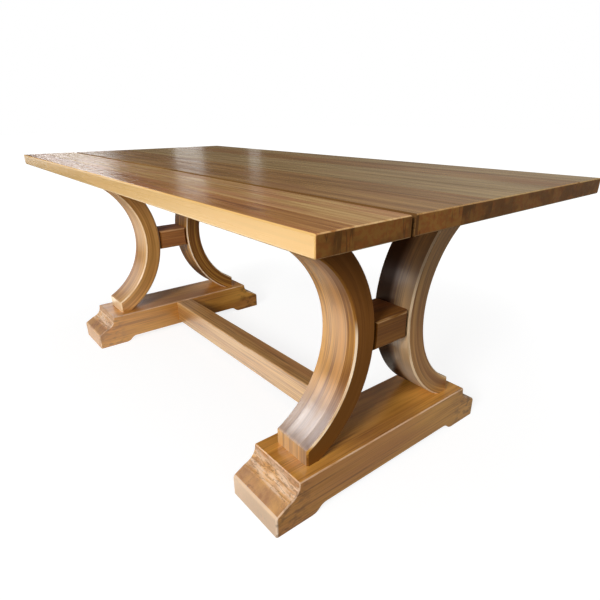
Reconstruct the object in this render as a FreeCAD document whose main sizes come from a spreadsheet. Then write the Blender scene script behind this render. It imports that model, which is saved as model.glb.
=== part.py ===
import FreeCAD, Part
import math
import os
import re
import Sketcher
from FreeCAD import Vector

# Trestle dining table in millimetres, +Z up.
# The origin is on the floor under the middle of the top; +X runs along the top and -Y is the front.
# "right" is the trestle at +X and "left" the one at -X; "front" legs are at -Y and "back" legs at +Y.

SIZES = {
    # plank top
    "table_height": 760,
    "top_length": 1850,
    "top_thickness": 36,
    "board_1_width": 72,
    "board_2_width": 124,
    "board_3_width": 124,
    "board_4_width": 94,
    "board_5_width": 118,
    "board_6_width": 120,
    "board_7_width": 122,
    "board_8_width": 116,
    "open_joint": 10,
    "open_joint_ease": 2.5,
    "board_ease": 0.8,
    "top_edge_round": 4,
    "top_end_round": 3,
    # loose splines between the boards
    "spline_thickness": 6,
    "spline_bite": 12,
    "spline_setback": 60,
    # fits
    "fit_gap": 0.2,
    "hole_relief": 2,
    # trestle feet
    "trestle_overhang": 290,
    "foot_width": 190,
    "foot_height": 126,
    "foot_ledge": 49.5,
    "foot_edge_round": 4,
    "foot_side_ease": 3,
    "cove_radius": 44.5,
    "cove_lip": 10,
    "shelf_run": 31,
    "shelf_fall": 17,
    "nose_run": 5,
    "nose_fall": 9,
    "arch_height": 20,
    "ogee_run": 46,
    "pad_length": 110,
    # curved legs
    "leg_width": 126,
    "leg_reach": 278,
    "leg_waist": 64,
    "leg_end_thickness": 45,
    "toe_height": 44,
    "leg_ease": 4.5,
    "leg_tenon_inset": 23,
    "leg_tenon_shoulder": 9.5,
    "leg_tenon_depth": 50,
    "head_tenon_depth": 12,
    # spacer blocks and the loose tenons through them
    "spacer_length": 128,
    "spacer_setback": 3,
    "spacer_height": 76,
    "spacer_drop": 6,
    "spacer_ease": 4.5,
    "spacer_end_ease": 10,
    "loose_tenon_width": 32,
    "loose_tenon_height": 14,
    "loose_tenon_gap": 22,
    "loose_tenon_bite": 30,
    # stretcher and its pegs
    "stretcher_width": 75,
    "stretcher_lift": 32,
    "stretcher_drop": 3,
    "stretcher_ease": 3,
    "stretcher_tenon_cheek": 20,
    "stretcher_tenon_shoulder": 15.5,
    "stretcher_tenon_length": 80,
    "peg_width": 11,
    "peg_cover": 18,
    # bearers under the top, with slots and pilot holes for the screws that hold it
    "bearer_margin": 32,
    "bearer_thickness": 22,
    "bearer_inset": 25,
    "bearer_taper": 95,
    "bearer_end_thickness": 8,
    "screw_offset": 16,
    "screw_play": 6,
    "screw_diameter": 5,
    "screw_bite": 20,
}

SAME_LENGTH = 1e-6
BOARD_COUNT = 8
FRONT_BOARD_COUNT = 2
PEG_SHARES = (0.3, 0.7)
SIDES = {"right": 1, "left": -1}
FACES = {"front": -1, "back": 1}

# Sizes that follow from the ones above.
DERIVED = {
    "top_width": " + ".join(f"board_{n}_width" for n in range(1, BOARD_COUNT + 1)) + " + open_joint",
    "underside": "table_height - top_thickness",
    "groove_thickness": "spline_thickness + 2 * fit_gap",
    "groove_depth": "spline_bite + fit_gap",
    "spline_length": "top_length - 2 * spline_setback",
    "spline_base": "underside + (top_thickness - spline_thickness) / 2",
    "trestle_spacing": "top_length - 2 * trestle_overhang",
    "bearer_base": "underside - bearer_thickness",
    "bearer_width": "leg_width + 2 * bearer_margin",
    "bearer_reach": "top_width / 2 - bearer_inset",
    "screw_row": "leg_width / 2 + screw_offset",
    "screw_hole": "screw_diameter + 2 * fit_gap",
    "half_leg": "(bearer_base - foot_height) / 2",
    "waist_height": "(bearer_base + foot_height) / 2",
    "heel": "leg_reach - leg_end_thickness",
    "leg_axis": "leg_reach - leg_end_thickness / 2",
    "back_bulge": "heel - spacer_length / 2",
    "back_radius": "(half_leg^2 + back_bulge^2) / (2 * back_bulge)",
    "back_centre": "spacer_length / 2 + back_radius",
    "face_bulge": "leg_reach - leg_waist - spacer_length / 2",
    "face_radius": "((half_leg - toe_height)^2 + face_bulge^2) / (2 * face_bulge)",
    "leg_tenon_width": "leg_width - 2 * leg_tenon_inset",
    "leg_tenon_thickness": "leg_end_thickness - 2 * leg_tenon_shoulder",
    "foot_top_reach": "leg_reach + foot_ledge",
    "cove_height": "foot_height - foot_edge_round",
    "lip_height": "cove_height - sqrt(cove_radius^2 - cove_lip^2)",
    "lip_reach": "foot_top_reach + cove_radius - cove_lip",
    "foot_reach": "lip_reach + shelf_run + nose_run",
    "nose_radius": "(nose_run^2 + nose_fall^2) / (2 * nose_run)",
    "ogee_radius": "(ogee_run^2 + arch_height^2) / (4 * arch_height)",
    "ogee_reach": "foot_reach - pad_length",
    "spacer_width": "leg_width - 2 * spacer_setback",
    "spacer_end_radius": "back_radius + fit_gap",
    "spacer_axis": "waist_height - spacer_drop",
    "spacer_low_corner": "back_centre - sqrt(spacer_end_radius^2 - (spacer_height / 2 + spacer_drop)^2)",
    "spacer_high_corner": "back_centre - sqrt(spacer_end_radius^2 - (spacer_height / 2 - spacer_drop)^2)",
    "loose_tenon_place": "(loose_tenon_gap + loose_tenon_width) / 2",
    "loose_tenon_length": "spacer_length + 2 * loose_tenon_bite",
    "stretcher_height": "foot_height - stretcher_drop - stretcher_lift",
    "stretcher_axis": "stretcher_lift + stretcher_height / 2",
    "stretcher_length": "trestle_spacing - foot_width",
    "stretcher_tenon_thickness": "stretcher_width - 2 * stretcher_tenon_cheek",
    "stretcher_tenon_height": "stretcher_height - 2 * stretcher_tenon_shoulder",
    "peg_base": "arch_height + hole_relief",
    "peg_top": "foot_height - peg_cover",
    "peg_hole": "peg_width + 2 * fit_gap",
}

doc = FreeCAD.newDocument("TrestleTable")
sheet = doc.addObject("Spreadsheet::Sheet", "Sizes")
for row, (alias, size) in enumerate(SIZES.items(), start=1):
    sheet.set(f"A{row}", alias)
    sheet.set(f"B{row}", str(size))
    sheet.setAlias(f"B{row}", alias)
doc.recompute()

nodes = []


# Writing sizes

def formula(text):
    """Return text with every named size written as a reference to the sheet."""
    def expand(match):
        word = match.group()
        if word in SIZES:
            return f"{sheet.Name}.{word}"
        if word in DERIVED:
            return f"({formula(DERIVED[word])})"
        return word
    return re.sub(r"[A-Za-z_]\w*", expand, text)


def measure(text):
    """Return the present value of a size formula."""
    return float(sheet.evalExpression(formula(text)))


# Sketches

def new_body(name):
    """Add an empty body that becomes the node of that name."""
    body = doc.addObject("PartDesign::Body", name)
    body.Label = name
    return body


def place(body, x="0", y="0", z="0"):
    """Bind a body's position to size formulas and list it among the nodes."""
    for axis, text in zip("xyz", (x, y, z)):
        body.setExpression(f"Placement.Base.{axis}", formula(text))
    nodes.append(body)


def new_sketch(body, name, role, offset=None):
    """Add a sketch on one of the body's origin planes, moved along the plane's normal by offset."""
    sketch = body.newObject("Sketcher::SketchObject", f"{body.Name}_{name}")
    plane = next(item for item in body.Origin.OriginFeatures if item.Role == role)
    sketch.AttachmentSupport = [(plane, "")]
    sketch.MapMode = "FlatFace"
    if offset is not None:
        sketch.setExpression("AttachmentOffset.Base.z", formula(offset))
    return sketch


def point_sizes(geometry, position, name, across, up):
    """List the dimensions that hold a point of a sketch from the sketch's origin."""
    return [
        (Sketcher.Constraint(kind, -1, 1, geometry, position, measure(text)), f"{name}_{kind}", text)
        for kind, text in (("DistanceX", across), ("DistanceY", up))
    ]


def radius_size(geometry, name, text):
    """Return the dimension of an arc's or a circle's radius."""
    return Sketcher.Constraint("Radius", geometry, measure(text)), f"{name}_radius", text


def dimension(sketch, sizes):
    """Add dimensions to a sketch and bind each one to its size formula."""
    indices = sketch.addConstraint([constraint for constraint, _, _ in sizes])
    for index, (_, name, text) in zip(indices, sizes):
        sketch.renameConstraint(index, name)
        sketch.setExpression(f"Constraints.{name}", formula(text))


def outline(sketch, corners, name="corner"):
    """Draw a closed outline of lines and arcs.

    Each corner is (across, up) for a line to the next corner, or (across, up, radius, turn) for an arc,
    where turn is 1 for an arc that bends left and -1 for one that bends right.
    """
    spots = [Vector(measure(corner[0]), measure(corner[1]), 0) for corner in corners]
    starts = []
    ends = []
    for number, corner in enumerate(corners):
        start = spots[number]
        end = spots[(number + 1) % len(spots)]
        if len(corner) == 2:
            starts.append((sketch.addGeometry(Part.LineSegment(start, end)), 1))
            ends.append((starts[-1][0], 2))
            continue
        radius = measure(corner[2])
        turn = corner[3]
        chord = end - start
        left = Vector(-chord.y, chord.x, 0).normalize()
        rise = math.sqrt(radius ** 2 - (chord.Length / 2) ** 2)
        centre = (start + end) * 0.5 + left * (rise * turn)
        first, last = (start, end) if turn > 0 else (end, start)
        angles = [math.atan2(spot.y - centre.y, spot.x - centre.x) for spot in (first, last)]
        arc = Part.ArcOfCircle(Part.Circle(centre, Vector(0, 0, 1), radius), *angles)
        geometry = sketch.addGeometry(arc)
        starts.append((geometry, 1 if turn > 0 else 2))
        ends.append((geometry, 2 if turn > 0 else 1))
    sketch.addConstraint([
        Sketcher.Constraint("Coincident", *ends[number - 1], *start) for number, start in enumerate(starts)
    ])
    sizes = []
    for number, corner in enumerate(corners):
        sizes += point_sizes(*starts[number], f"{name}_{number}", corner[0], corner[1])
        if len(corner) > 2:
            sizes.append(radius_size(starts[number][0], f"{name}_{number}", corner[2]))
    dimension(sketch, sizes)


def rectangle(sketch, across, up, width, height, name="corner"):
    """Draw a rectangle about the point (across, up)."""
    outline(sketch, [
        (f"{across} - ({width}) / 2", f"{up} - ({height}) / 2"),
        (f"{across} + ({width}) / 2", f"{up} - ({height}) / 2"),
        (f"{across} + ({width}) / 2", f"{up} + ({height}) / 2"),
        (f"{across} - ({width}) / 2", f"{up} + ({height}) / 2"),
    ], name)


def slot(sketch, across, up, width, play):
    """Draw a slot along the sketch's second axis, about the point (across, up)."""
    radius = f"({width}) / 2"
    bend = (radius, 1)
    outline(sketch, [
        (f"{across} + {radius}", f"{up} - ({play}) / 2"),
        (f"{across} + {radius}", f"{up} + ({play}) / 2", *bend),
        (across, f"{up} + ({play}) / 2 + {radius}", *bend),
        (f"{across} - {radius}", f"{up} + ({play}) / 2"),
        (f"{across} - {radius}", f"{up} - ({play}) / 2", *bend),
        (across, f"{up} - ({play}) / 2 - {radius}", *bend),
    ])


def circle(sketch, across, up, diameter, name="circle"):
    """Draw a circle about the point (across, up)."""
    spot = Vector(measure(across), measure(up), 0)
    ring = Part.Circle(spot, Vector(0, 0, 1), measure(diameter) / 2)
    geometry = sketch.addGeometry(ring)
    sizes = point_sizes(geometry, 3, name, across, up)
    sizes.append(radius_size(geometry, name, f"({diameter}) / 2"))
    dimension(sketch, sizes)


# Features

def pad(body, sketch, length, symmetric=False, backwards=False):
    """Raise a sketch into a solid."""
    feature = body.newObject("PartDesign::Pad", f"{sketch.Name}_pad")
    feature.Profile = sketch
    feature.SideType = "Symmetric" if symmetric else "One side"
    feature.Reversed = backwards
    feature.setExpression("Length", formula(length))
    doc.recompute()
    return feature


def pocket(body, sketch, depth=None, backwards=False):
    """Cut a sketch into the body, to a depth or, with none given, right through it both ways."""
    before = body.Shape.Volume
    feature = body.newObject("PartDesign::Pocket", f"{sketch.Name}_pocket")
    feature.Profile = sketch
    feature.Reversed = backwards
    if depth is None:
        feature.SideType = "Symmetric"
        feature.Type = "ThroughAll"
    else:
        feature.setExpression("Length", formula(depth))
    doc.recompute()
    if body.Shape.Volume >= before:
        raise RuntimeError(f"{feature.Name} cuts nothing")
    return feature


def ease(body, kind, size, wanted):
    """Chamfer or round the edges of the body that the test picks."""
    base = body.Tip
    names = [f"Edge{n}" for n, edge in enumerate(base.Shape.Edges, start=1) if wanted(edge)]
    feature = body.newObject(f"PartDesign::{kind}", f"{body.Name}_{kind}_{size}")
    feature.Base = (base, names)
    feature.setExpression("Radius" if kind == "Fillet" else "Size", formula(size))
    doc.recompute()
    return feature


def same(first, second):
    """Tell whether two lengths agree to the modelling tolerance."""
    return abs(first - second) < SAME_LENGTH


def on_side(edge, half_width):
    """Tell whether an edge lies in one of the two side planes of a piece centred on X."""
    box = edge.BoundBox
    return same(box.XMin, box.XMax) and same(abs(box.XMin), half_width)


def along(edge, axis):
    """Tell whether an edge is a straight one along the named axis."""
    if edge.Curve.TypeId != "Part::GeomLine":
        return False
    return same(abs(getattr(edge.Curve.Direction, axis)), 1)


def group(name, template, spots):
    """Add a node that holds a copy of one template solid at each spot."""
    feature = doc.addObject("Part::Feature", name)
    feature.Label = name
    copies = []
    for spot in spots:
        copy = template.Shape.copy()
        copy.translate(Vector(*(measure(text) for text in spot)))
        copies.append(copy)
    feature.Shape = Part.Compound(copies)
    nodes.append(feature)


def bar(name, length, width, height):
    """A plain bar that lies on the ground plane, centred on the vertical axis, its length along X."""
    body = new_body(name)
    plan = new_sketch(body, "plan", "XY_Plane")
    rectangle(plan, "0", "0", length, width)
    pad(body, plan, height)
    return body


def trestle_place(side):
    """Return the formula of a trestle's place along the table."""
    return f"{side} * trestle_spacing / 2"


# Plank top

def board_edge(number):
    """Return the formula of the front edge of a board; boards count from 1 at the front."""
    terms = ["-top_width / 2"]
    terms += [f"board_{n}_width" for n in range(1, number)]
    if number > FRONT_BOARD_COUNT:
        terms.append("open_joint")
    return " + ".join(terms)


def board_axis(number):
    """Return the formula of the middle of a board's width."""
    return f"{board_edge(number)} + board_{number}_width / 2"


def screwed_boards():
    """Return the numbers of the boards with screws: all but the outer two, which their splines hold."""
    return range(2, BOARD_COUNT)


def screw_place(number, side):
    """Return the formula of a board's screw on a trestle, in rows that change side from board to board."""
    return f"{side * (-1) ** number} * (screw_row)"


def board_corners(number):
    """Return a board's section: rounded outside edges, eased arrises along the joints."""
    width = f"board_{number}_width"
    front_ease = "open_joint_ease" if number == FRONT_BOARD_COUNT + 1 else "board_ease"
    back_ease = "open_joint_ease" if number == FRONT_BOARD_COUNT else "board_ease"
    corners = []
    if number == 1:
        corners.append(("0", "top_edge_round", "top_edge_round", 1))
        corners.append(("top_edge_round", "0"))
    else:
        corners.append(("0", "0"))
    if number == BOARD_COUNT:
        corners.append((f"{width} - top_edge_round", "0", "top_edge_round", 1))
        corners.append((width, "top_edge_round"))
        corners.append((width, "top_thickness - top_edge_round", "top_edge_round", 1))
        corners.append((f"{width} - top_edge_round", "top_thickness"))
    else:
        corners.append((width, "0"))
        corners.append((width, f"top_thickness - {back_ease}"))
        corners.append((f"{width} - {back_ease}", "top_thickness"))
    if number == 1:
        corners.append(("top_edge_round", "top_thickness", "top_edge_round", 1))
        corners.append(("0", "top_thickness - top_edge_round"))
    else:
        corners.append((front_ease, "top_thickness"))
        corners.append(("0", f"top_thickness - {front_ease}"))
    return corners


def top_board(number):
    """One board of the top, grooved for its splines and drilled for its screws."""
    body = new_body(f"top_board_{number}")
    section = new_sketch(body, "section", "YZ_Plane")
    outline(section, board_corners(number))
    pad(body, section, "top_length", symmetric=True)

    half_length = measure("top_length") / 2
    ends = [0, measure("top_thickness")]
    ease(body, "Fillet", "top_end_round", lambda edge: on_side(edge, half_length)
         and along(edge, "y") and any(same(edge.BoundBox.ZMin, end) for end in ends))

    grooved = []
    if number > 1:
        grooved.append(("front_groove", "0", False))
    if number < BOARD_COUNT:
        grooved.append(("back_groove", f"-board_{number}_width", True))
    for name, offset, backwards in grooved:
        groove = new_sketch(body, name, "XZ_Plane", offset)
        rectangle(groove, "0", "top_thickness / 2", "spline_length + 2 * hole_relief", "groove_thickness")
        pocket(body, groove, "groove_depth", backwards)

    if number in screwed_boards():
        holes = new_sketch(body, "screw_holes", "XY_Plane")
        for name, side in SIDES.items():
            across = f"{trestle_place(side)} + {screw_place(number, side)}"
            circle(holes, across, f"board_{number}_width / 2", "screw_hole", name)
        pocket(body, holes, "screw_bite + hole_relief", backwards=True)
    place(body, y=board_edge(number), z="underside")


def splines():
    """Loose splines: one group for the closed joints and a wider one for the open joint."""
    open_board = FRONT_BOARD_COUNT + 1
    closed = bar("closed_spline", "spline_length", "2 * spline_bite", "spline_thickness")
    joints = [n for n in range(2, BOARD_COUNT + 1) if n != open_board]
    group("top_splines", closed, [("0", board_edge(n), "spline_base") for n in joints])
    wide = bar("open_joint_spline", "spline_length", "2 * spline_bite + open_joint", "spline_thickness")
    place(wide, y=f"{board_edge(open_board)} - open_joint / 2", z="spline_base")


# Feet

def foot_half():
    """Return the back half of a foot's outline, from the arch over the end moulding to the top."""
    return [
        ("ogee_reach - ogee_run", "arch_height", "ogee_radius", -1),
        ("ogee_reach - ogee_run / 2", "arch_height / 2", "ogee_radius", 1),
        ("ogee_reach", "0"),
        ("foot_reach", "0"),
        ("foot_reach", "lip_height - shelf_fall - nose_fall", "nose_radius", 1),
        ("foot_reach - nose_run", "lip_height - shelf_fall"),
        ("lip_reach", "lip_height", "cove_radius", -1),
        ("foot_top_reach", "cove_height", "foot_edge_round", 1),
        ("foot_top_reach - foot_edge_round", "foot_height"),
    ]


def mirrored(corners):
    """Return the outline's other half, in order, with across turned round."""
    turned = []
    for number in range(len(corners) - 1, -1, -1):
        across, up = corners[number][:2]
        bend = corners[number - 1][2:] if number > 0 else ()
        turned.append((f"-({across})", up, *bend))
    return turned


def leg_tenon_holes(sketch):
    """Draw the pair of mortises that the stub tenons of a trestle's legs fit."""
    for face, way in FACES.items():
        rectangle(sketch, "0", f"{way} * leg_axis", "leg_tenon_width + 2 * fit_gap",
                  "leg_tenon_thickness + 2 * fit_gap", face)


def peg_place(share, side):
    """Return the formula of a peg's place from its trestle's axis, at a share of the stretcher's tenon."""
    return f"{-side} * (foot_width / 2 - stretcher_tenon_length * {share})"


def foot(name, side):
    """A trestle foot: moulded ends, arched underside, mortises for the legs and the stretcher."""
    body = new_body(f"foot_{name}")
    profile = new_sketch(body, "profile", "YZ_Plane")
    half = foot_half()
    outline(profile, half + mirrored(half))
    pad(body, profile, "foot_width", symmetric=True)

    half_width = measure("foot_width") / 2
    arch = measure("arch_height")
    ease(body, "Chamfer", "foot_side_ease", lambda edge: on_side(edge, half_width)
         and edge.BoundBox.ZMax > arch and not same(edge.BoundBox.ZMax, arch))

    mortises = new_sketch(body, "leg_mortises", "XY_Plane", "foot_height")
    leg_tenon_holes(mortises)
    pocket(body, mortises, "leg_tenon_depth + hole_relief")

    mortise = new_sketch(body, "stretcher_mortise", "YZ_Plane", f"{-side} * foot_width / 2")
    rectangle(mortise, "0", "stretcher_axis", "stretcher_tenon_thickness + 2 * fit_gap",
              "stretcher_tenon_height + 2 * fit_gap")
    pocket(body, mortise, "stretcher_tenon_length + hole_relief", backwards=side > 0)

    peg_holes = new_sketch(body, "peg_holes", "XY_Plane")
    for number, share in enumerate(PEG_SHARES):
        rectangle(peg_holes, peg_place(share, side), "0", "peg_hole", "peg_hole", f"peg_{number}")
    pocket(body, peg_holes, "peg_top + hole_relief", backwards=True)
    place(body, x=trestle_place(side))


# Legs

def leg(name, side, way):
    """A C-shaped leg with a stub tenon at each end and mortises in its back for the loose tenons."""
    body = new_body(f"leg_{name}")
    profile = new_sketch(body, "profile", "YZ_Plane")
    outline(profile, [
        (f"{way} * heel", "foot_height"),
        (f"{way} * leg_reach", "foot_height"),
        (f"{way} * leg_reach", "foot_height + toe_height", "face_radius", -way),
        (f"{way} * leg_reach", "bearer_base - toe_height"),
        (f"{way} * leg_reach", "bearer_base"),
        (f"{way} * heel", "bearer_base", "back_radius", way),
    ])
    pad(body, profile, "leg_width", symmetric=True)

    half_width = measure("leg_width") / 2
    ease(body, "Chamfer", "leg_ease", lambda edge: on_side(edge, half_width) and not along(edge, "y"))

    ends = {"foot": ("foot_height", "leg_tenon_depth"), "head": ("bearer_base", "head_tenon_depth")}
    for end, (level, depth) in ends.items():
        tenon = new_sketch(body, f"{end}_tenon", "XY_Plane", level)
        rectangle(tenon, "0", f"{way} * leg_axis", "leg_tenon_width", "leg_tenon_thickness")
        pad(body, tenon, depth, backwards=end == "foot")

    mortises = new_sketch(body, "loose_tenon_mortises", "XZ_Plane", f"{-way} * spacer_length / 2")
    loose_tenon_holes(mortises)
    pocket(body, mortises, "loose_tenon_bite + hole_relief", backwards=way < 0)
    place(body, x=trestle_place(side))


def loose_tenon_holes(sketch):
    """Draw the pair of mortises that a trestle's loose tenons fit."""
    for number, half in enumerate((-1, 1)):
        rectangle(sketch, f"{half} * (loose_tenon_place)", "waist_height", "loose_tenon_width + 2 * fit_gap",
                  "loose_tenon_height + 2 * fit_gap", f"tenon_{number}")


# Spacer blocks

def spacer_block(name, side):
    """The block between a trestle's two legs, its ends hollowed to fit the legs' backs and chamfered."""
    body = new_body(f"spacer_block_{name}")
    profile = new_sketch(body, "profile", "YZ_Plane")
    low = "spacer_axis - spacer_height / 2"
    high = "spacer_axis + spacer_height / 2"
    outline(profile, [
        ("spacer_low_corner", low, "spacer_end_radius", -1),
        ("spacer_high_corner", high),
        ("-(spacer_high_corner)", high, "spacer_end_radius", -1),
        ("-(spacer_low_corner)", low),
    ])
    pad(body, profile, "spacer_width", symmetric=True)

    half_width = measure("spacer_width") / 2
    ease(body, "Chamfer", "spacer_end_ease", lambda edge: on_side(edge, half_width) and not along(edge, "y"))
    ease(body, "Chamfer", "spacer_ease", lambda edge: on_side(edge, half_width) and along(edge, "y"))

    mortises = new_sketch(body, "loose_tenon_mortises", "XZ_Plane")
    loose_tenon_holes(mortises)
    pocket(body, mortises)
    place(body, x=trestle_place(side))


# Stretcher

def stretcher():
    """The low rail between the feet, with a pegged tenon at each end."""
    body = new_body("stretcher")
    section = new_sketch(body, "section", "YZ_Plane")
    rectangle(section, "0", "stretcher_axis", "stretcher_width", "stretcher_height")
    pad(body, section, "stretcher_length", symmetric=True)
    ease(body, "Chamfer", "stretcher_ease", lambda edge: along(edge, "x"))

    tenons = new_sketch(body, "tenons", "YZ_Plane")
    rectangle(tenons, "0", "stretcher_axis", "stretcher_tenon_thickness", "stretcher_tenon_height")
    pad(body, tenons, "stretcher_length + 2 * stretcher_tenon_length", symmetric=True)

    peg_holes = new_sketch(body, "peg_holes", "XY_Plane")
    for name, side in SIDES.items():
        for number, share in enumerate(PEG_SHARES):
            across = f"{trestle_place(side)} + {peg_place(share, side)}"
            rectangle(peg_holes, across, "0", "peg_hole", "peg_hole", f"{name}_{number}")
    pocket(body, peg_holes)
    place(body)


# Bearers

def bearer(name, side):
    """A cross bearer under the top: tapered ends, mortises for the legs, a slot for each top screw."""
    body = new_body(f"bearer_{name}")
    profile = new_sketch(body, "profile", "YZ_Plane")
    half = [
        ("bearer_reach - bearer_taper", "bearer_base"),
        ("bearer_reach", "underside - bearer_end_thickness"),
        ("bearer_reach", "underside"),
    ]
    outline(profile, half + mirrored(half))
    pad(body, profile, "bearer_width", symmetric=True)

    mortises = new_sketch(body, "leg_mortises", "XY_Plane", "bearer_base")
    leg_tenon_holes(mortises)
    pocket(body, mortises, "head_tenon_depth + hole_relief", backwards=True)

    for number in screwed_boards():
        through = new_sketch(body, f"slot_{number}", "XY_Plane")
        slot(through, screw_place(number, side), f"({board_axis(number)})", "screw_hole", "screw_play")
        pocket(body, through)
    place(body, x=trestle_place(side))


# Loose tenons and pegs

def fasteners():
    """The loose tenons and pegs of both trestles, one node for each kind."""
    tenon = bar("loose_tenon", "loose_tenon_width", "loose_tenon_length", "loose_tenon_height")
    peg = bar("peg", "peg_width", "peg_width", "peg_top - peg_base")
    tenons = []
    pegs = []
    for side in SIDES.values():
        tenon_base = "waist_height - loose_tenon_height / 2"
        for half in (-1, 1):
            tenons.append((f"{trestle_place(side)} + {half} * (loose_tenon_place)", "0", tenon_base))
        for share in PEG_SHARES:
            pegs.append((f"{trestle_place(side)} + {peg_place(share, side)}", "0", "peg_base"))
    group("spacer_tenons", tenon, tenons)
    group("stretcher_pegs", peg, pegs)


# Assembly

for board in range(1, BOARD_COUNT + 1):
    top_board(board)
splines()
for side_name, side_sign in SIDES.items():
    foot(side_name, side_sign)
    for face_name, face_sign in FACES.items():
        leg(f"{side_name}_{face_name}", side_sign, face_sign)
    spacer_block(side_name, side_sign)
    bearer(side_name, side_sign)
stretcher()
fasteners()
doc.recompute()

# Checks and files

for item in doc.Objects:
    if "Invalid" in item.State or "Error" in item.State:
        raise RuntimeError(f"{item.Name} is {item.State}")
for node in nodes:
    if node.Shape.isNull() or not node.Shape.isValid():
        raise RuntimeError(f"{node.Label} has no valid shape")
os.makedirs("parts", exist_ok=True)
for node in nodes:
    node.Shape.exportStep(f"parts/{node.Label}.step")
    box = node.Shape.BoundBox
    print(f"{node.Label}: {len(node.Shape.Solids)} solids, {node.Shape.Volume / 1000:.1f} cm3, "
          f"z {box.ZMin:.1f} to {box.ZMax:.1f}")
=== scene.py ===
"""Looks of a trestle dining table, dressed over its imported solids, in metres.

The solids come from the frame and stay where they are. This script gives each of them a wood finish,
adds the screws that hold the top to its bearers, and sets up a pale studio and the camera.
"""

from __future__ import annotations

import logging
import math
from dataclasses import dataclass, replace
from enum import Enum
from functools import cached_property, partial, reduce

import bmesh
import bpy
from mathutils import Matrix, Vector

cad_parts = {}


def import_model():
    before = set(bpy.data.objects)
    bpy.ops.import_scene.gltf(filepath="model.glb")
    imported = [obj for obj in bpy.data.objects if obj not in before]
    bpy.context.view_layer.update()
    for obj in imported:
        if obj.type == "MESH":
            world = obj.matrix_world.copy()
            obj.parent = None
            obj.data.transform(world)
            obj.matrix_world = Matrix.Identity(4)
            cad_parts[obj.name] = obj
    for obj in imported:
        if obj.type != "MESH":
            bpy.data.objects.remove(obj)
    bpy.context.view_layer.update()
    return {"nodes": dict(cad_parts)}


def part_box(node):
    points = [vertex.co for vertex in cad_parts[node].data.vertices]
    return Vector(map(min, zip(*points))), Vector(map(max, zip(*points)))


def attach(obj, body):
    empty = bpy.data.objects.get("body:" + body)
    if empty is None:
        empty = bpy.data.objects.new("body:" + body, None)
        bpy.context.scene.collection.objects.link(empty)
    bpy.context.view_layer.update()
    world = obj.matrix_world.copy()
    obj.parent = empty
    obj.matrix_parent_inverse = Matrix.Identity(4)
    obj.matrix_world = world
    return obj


log = logging.getLogger("trestle_table")

Colour = tuple[float, float, float, float]
Socket = bpy.types.NodeSocket
Feed = Socket | float | tuple
Place = tuple[Socket, Socket, Socket]
Span = tuple[float, float]

ROOT_BODY = "root"


def display(red: int, green: int, blue: int) -> Colour:
    """Turn a colour as a screen shows it into the linear colour that shaders take.

    Args:
        red: Red from 0 to 255.
        green: Green from 0 to 255.
        blue: Blue from 0 to 255.

    Returns:
        The linear colour with full alpha.
    """
    def linear(level: int) -> float:
        """Undo a screen's curve for one channel."""
        share = level / 255
        return share / 12.92 if share <= 0.04045 else ((share + 0.055) / 1.055) ** 2.4

    return linear(red), linear(green), linear(blue), 1.0


class Grain(Enum):
    """The axis that a piece's fibres run along, and the two across it."""

    ALONG_X = ("X", "Y", "Z")
    ALONG_Y = ("Y", "X", "Z")
    ALONG_Z = ("Z", "X", "Y")


class Arris(Enum):
    """Which faces of a piece count as its eased edges."""

    SIDES = "faces between an X side and the outline"
    CORNERS = "faces that point along no axis"
    ENDS = "faces between an X end and the top or bottom"


@dataclass(frozen=True)
class WoodTone:
    """Colours of one kind of board.

    Args:
        early: Pale wood grown early in the year.
        late: Dark wood grown late in the year.
        blush: Reddish clouds.
        vein: Mineral veins and pores.
        worn: Eased edges and scuffs, where the dye is thin, and the painted highlight and sheen on edges,
            toes, foot ends and coves.
    """

    early: Colour
    late: Colour
    blush: Colour
    vein: Colour
    worn: Colour

    @classmethod
    def shown(cls, **colours: tuple[int, int, int]) -> WoodTone:
        """Take the colours as a screen shows them, from 0 to 255."""
        return cls(**{name: display(*colour) for name, colour in colours.items()})


@dataclass(frozen=True)
class Noise:
    """Cloudy noise, which may be cut into patches or lines.

    Args:
        pitch: Repeats per metre along each part of a place.
        detail: Number of finer layers.
        roughness: Strength of the finer layers.
        edge: From what level to what level it turns from 0 to 1, if it is cut into patches.
        line: From how far to how far off its middle level it turns from 0 to 1, if it is cut into lines.
    """

    pitch: tuple[float, float, float]
    detail: float = 2.0
    roughness: float = 0.5
    edge: Span | None = None
    line: Span | None = None

    @classmethod
    def stretched(cls, length: float, width: float) -> Noise:
        """Describe soft shapes of some length along the fibres and some width across them."""
        return cls((1 / length, 1 / width, 1 / width), detail=3.0)


@dataclass(frozen=True)
class Figure:
    """Scale and strength of a wood's figure.

    Args:
        band_width: Width of the broad bands of colour.
        band_length: Length of the broad bands.
        band_share: Strength of the broad bands.
        streak_share: Strength of the fine streaks.
        ring_share: Strength of the year rings.
        ring_width: Width of a year's growth.
        vein_share: Strength of the dark veins.
        blush_share: Strength of the reddish clouds.
        cloud_width: Width of the clouds.
        cloud_length: Length of the clouds.
        end_share: How dark the end grain is.
        edge_wear_and_highlight: Strength of the pale eased edges, part wear and part painted highlight.
    """

    band_width: float = 0.030
    band_length: float = 0.9
    band_share: float = 1.6
    streak_share: float = 1.3
    ring_share: float = 0.22
    ring_width: float = 0.009
    vein_share: float = 0.35
    blush_share: float = 0.5
    cloud_width: float = 0.0625
    cloud_length: float = 0.59
    end_share: float = 0.5
    edge_wear_and_highlight: float = 0.6

    def bands(self) -> Noise:
        """Describe the broad bands."""
        return Noise.stretched(self.band_length, self.band_width)

    def clouds(self) -> Noise:
        """Describe the clouds."""
        return Noise.stretched(self.cloud_length, self.cloud_width)


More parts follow.
